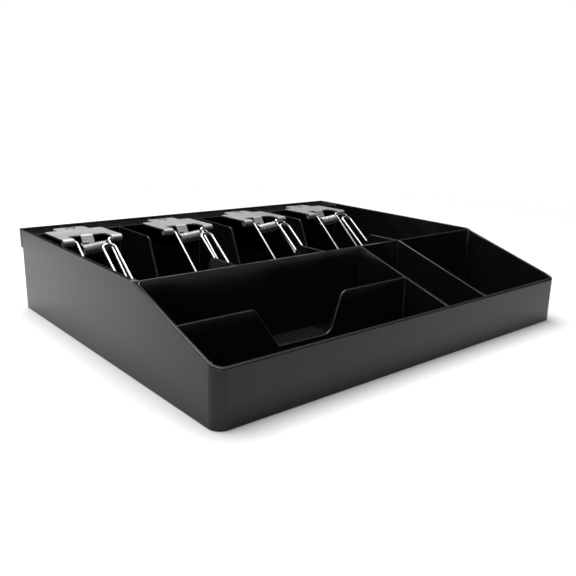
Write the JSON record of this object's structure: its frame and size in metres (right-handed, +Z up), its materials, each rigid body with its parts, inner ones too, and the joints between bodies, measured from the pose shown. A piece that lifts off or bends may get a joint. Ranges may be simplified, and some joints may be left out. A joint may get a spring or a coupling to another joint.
{
  "type": "till tray",
  "caption": "Moulded cash tray insert with sprung wire note clips on a back ledge, open note wells and divided coin wells behind a low front.",
  "frame": {"origin": "centre of the footprint (back lip included) on the surface the tray stands on", "axes": "+X to the right along the front, -Y towards the user, +Z up"},
  "size_m": [0.325, 0.2794, 0.0655],
  "materials": {
    "tray_plastic": "black moulded plastic, fine satin grain",
    "clip_plate": "zinc-plated sheet steel, satin",
    "bail_wire": "bright nickel-plated steel wire",
    "spring_wire": "dark spring steel",
    "screw_steel": "zinc-plated steel"
  },
  "bodies": {
    "tray": {"tray": "tray_plastic", "clip_bracket_1": "clip_plate", "clip_spring_1": "spring_wire", "clip_screw_1": "screw_steel", "clip_bracket_2": "clip_plate", "clip_spring_2": "spring_wire", "clip_screw_2": "screw_steel", "clip_bracket_3": "clip_plate", "clip_spring_3": "spring_wire", "clip_screw_3": "screw_steel", "clip_bracket_4": "clip_plate", "clip_spring_4": "spring_wire", "clip_screw_4": "screw_steel"},
    "bail_1": {"clip_bail_1": "bail_wire"},
    "bail_2": {"clip_bail_2": "bail_wire"},
    "bail_3": {"clip_bail_3": "bail_wire"},
    "bail_4": {"clip_bail_4": "bail_wire"}
  },
  "joints": [
    {"name": "bail_1_lift", "type": "hinge", "parent": "tray", "child": "bail_1", "pos_m": [-0.13, 0.0749, 0.0617], "axis": [-1, 0, 0], "range_deg": [0, 100], "stiffness_Nm_per_rad": 0.06, "springref_deg": -45.84, "deforming": ["clip_spring_1"]},
    {"name": "bail_2_lift", "type": "hinge", "parent": "tray", "child": "bail_2", "pos_m": [-0.047, 0.0749, 0.0617], "axis": [-1, 0, 0], "range_deg": [0, 100], "stiffness_Nm_per_rad": 0.06, "springref_deg": -45.84, "deforming": ["clip_spring_2"]},
    {"name": "bail_3_lift", "type": "hinge", "parent": "tray", "child": "bail_3", "pos_m": [0.0336, 0.0749, 0.0617], "axis": [-1, 0, 0], "range_deg": [0, 100], "stiffness_Nm_per_rad": 0.06, "springref_deg": -45.84, "deforming": ["clip_spring_3"]},
    {"name": "bail_4_lift", "type": "hinge", "parent": "tray", "child": "bail_4", "pos_m": [0.1097, 0.0749, 0.0617], "axis": [-1, 0, 0], "range_deg": [0, 100], "stiffness_Nm_per_rad": 0.06, "springref_deg": -45.84, "deforming": ["clip_spring_4"]}
  ]
}
